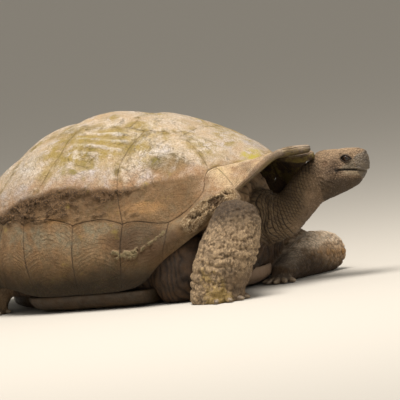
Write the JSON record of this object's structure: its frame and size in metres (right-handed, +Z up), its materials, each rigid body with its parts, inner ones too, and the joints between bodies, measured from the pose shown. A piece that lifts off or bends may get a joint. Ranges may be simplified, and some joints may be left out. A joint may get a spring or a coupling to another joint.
{
  "type": "giant tortoise",
  "caption": "Life-size still model of a giant tortoise lying on its belly, long neck and head raised, one foreleg upright and the other folded, under a high domed shell.",
  "frame": {"origin": "middle of the flat underside of the plastron, on the floor below the middle of the carapace", "axes": "+X points forward towards the head, +Y to the animal's left, +Z up"},
  "size_m": [1.3034, 0.9041, 0.5726],
  "materials": {
    "carapace": "worn horn with mud and lichen",
    "margin": "ringed horn with mud",
    "plastron": "smooth worn horn",
    "skin": "dry wrinkled and scaly skin",
    "head_skin": "fine dry scales",
    "horn": "smooth dull horn",
    "eye": "wet and glossy",
    "mud": "dry crumbled mud"
  },
  "bodies": {
    "root": {"vertebral_1": "carapace", "vertebral_2": "carapace", "vertebral_3": "carapace", "vertebral_4": "carapace", "vertebral_5": "carapace", "costal_1_left": "carapace", "costal_1_right": "carapace", "costal_2_left": "carapace", "costal_2_right": "carapace", "costal_3_left": "carapace", "costal_3_right": "carapace", "costal_4_left": "carapace", "costal_4_right": "carapace", "marginal_1_left": "margin", "marginal_1_right": "margin", "marginal_2_left": "margin", "marginal_2_right": "margin", "marginal_3_left": "margin", "marginal_3_right": "margin", "marginal_4_left": "margin", "marginal_4_right": "margin", "marginal_5_left": "margin", "marginal_5_right": "margin", "marginal_6_left": "margin", "marginal_6_right": "margin", "marginal_7_left": "margin", "marginal_7_right": "margin", "marginal_8_left": "margin", "marginal_8_right": "margin", "marginal_9_left": "margin", "marginal_9_right": "margin", "marginal_10_left": "margin", "marginal_10_right": "margin", "marginal_11_left": "margin", "marginal_11_right": "margin", "supracaudal": "margin", "plastron": "plastron", "trunk": "skin", "neck_lower": "skin", "neck_upper": "skin", "head": "head_skin", "jaw_lower": "head_skin", "beak_upper": "horn", "eye_left": "eye", "eye_right": "eye", "tail": "skin", "upper_arm_left": "skin", "forearm_left": "skin", "forefoot_left": "skin", "thigh_left": "skin", "hindfoot_left": "skin", "upper_arm_right": "skin", "forearm_right": "skin", "forefoot_right": "skin", "thigh_right": "skin", "hindfoot_right": "skin"}
  },
  "joints": []
}
